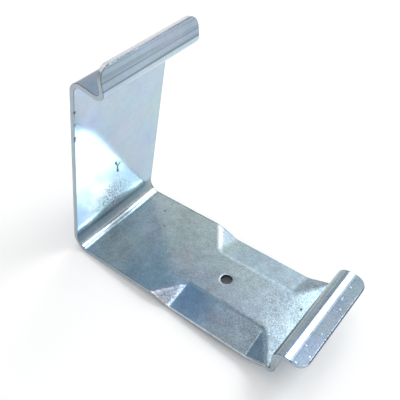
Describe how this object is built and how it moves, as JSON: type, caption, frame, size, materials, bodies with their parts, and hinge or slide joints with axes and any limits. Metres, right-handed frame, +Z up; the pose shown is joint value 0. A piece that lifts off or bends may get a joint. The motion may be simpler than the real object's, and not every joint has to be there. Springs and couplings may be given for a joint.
{
  "type": "stamped metal bracket",
  "caption": "One-piece clip bracket folded from plated sheet: a floor with a screw hole and two pressed wings, a leaning wall, and a hook along the end of each.",
  "frame": {"origin": "middle of the screw hole, on the underside of the floor", "axes": "+X along the floor from the wall to the front hook, +Y across the strip, +Z up through the screw hole"},
  "size_m": [0.0957, 0.04, 0.0862],
  "materials": {
    "zinc_plate": "bright zinc plate"
  },
  "bodies": {
    "root": {"bracket": "zinc_plate"}
  },
  "joints": []
}
